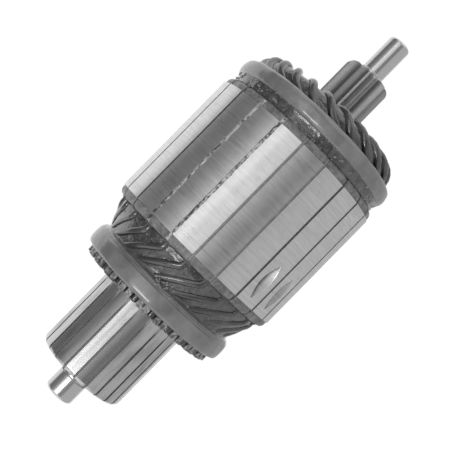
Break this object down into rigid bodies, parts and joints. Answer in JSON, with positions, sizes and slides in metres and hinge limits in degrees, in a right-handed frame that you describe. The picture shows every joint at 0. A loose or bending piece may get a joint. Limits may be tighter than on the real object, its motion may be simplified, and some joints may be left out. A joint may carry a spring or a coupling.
{
  "type": "motor armature",
  "caption": "Armature of a small geared direct-current starter motor: slotted core with a hairpin winding, a commutator with risers, two bands, and a shaft with a cut pinion.",
  "frame": {"origin": "on the shaft axis, in the middle of the laminated core", "axes": "+X along the shaft towards the pinion, commutator at -X; one slot opens towards +Z"},
  "size_m": [0.1484, 0.06, 0.06],
  "materials": {
    "ground_steel": "ground and turned steel, slightly oily",
    "core_steel": "outer edges of the laminations turned bright, slots filled with varnish",
    "end_plate_laminate": "insulating plate, mottled under varnish",
    "slot_paper": "insulating paper, soaked in varnish",
    "band_resin": "wound glass band set in resin, semi-gloss with a few drips",
    "moulding_compound": "moulding compound, as moulded and sawn between the bars",
    "commutator_copper": null,
    "varnished_copper": "enamelled flat copper under glossy varnish"
  },
  "bodies": {
    "root": {"shaft": "ground_steel", "core_stack": "core_steel", "rear_plate": "end_plate_laminate", "drive_plate": "end_plate_laminate", "slot_liners": "slot_paper", "slot_separators": "slot_paper", "rear_layer_sleeve": "slot_paper", "drive_layer_sleeve": "slot_paper", "rear_band": "band_resin", "drive_band": "band_resin", "commutator_sleeve": "ground_steel", "commutator_moulding": "moulding_compound", "commutator_bar_01": "commutator_copper", "commutator_bar_02": "commutator_copper", "commutator_bar_03": "commutator_copper", "commutator_bar_04": "commutator_copper", "commutator_bar_05": "commutator_copper", "commutator_bar_06": "commutator_copper", "commutator_bar_07": "commutator_copper", "commutator_bar_08": "commutator_copper", "commutator_bar_09": "commutator_copper", "commutator_bar_10": "commutator_copper", "commutator_bar_11": "commutator_copper", "commutator_bar_12": "commutator_copper", "commutator_bar_13": "commutator_copper", "commutator_bar_14": "commutator_copper", "commutator_bar_15": "commutator_copper", "commutator_bar_16": "commutator_copper", "commutator_bar_17": "commutator_copper", "commutator_bar_18": "commutator_copper", "commutator_bar_19": "commutator_copper", "commutator_bar_20": "commutator_copper", "commutator_bar_21": "commutator_copper", "commutator_bar_22": "commutator_copper", "hairpin_01": "varnished_copper", "hairpin_02": "varnished_copper", "hairpin_03": "varnished_copper", "hairpin_04": "varnished_copper", "hairpin_05": "varnished_copper", "hairpin_06": "varnished_copper", "hairpin_07": "varnished_copper", "hairpin_08": "varnished_copper", "hairpin_09": "varnished_copper", "hairpin_10": "varnished_copper", "hairpin_11": "varnished_copper", "hairpin_12": "varnished_copper", "hairpin_13": "varnished_copper", "hairpin_14": "varnished_copper", "hairpin_15": "varnished_copper", "hairpin_16": "varnished_copper", "hairpin_17": "varnished_copper", "hairpin_18": "varnished_copper", "hairpin_19": "varnished_copper", "hairpin_20": "varnished_copper", "hairpin_21": "varnished_copper", "hairpin_22": "varnished_copper"}
  },
  "joints": []
}
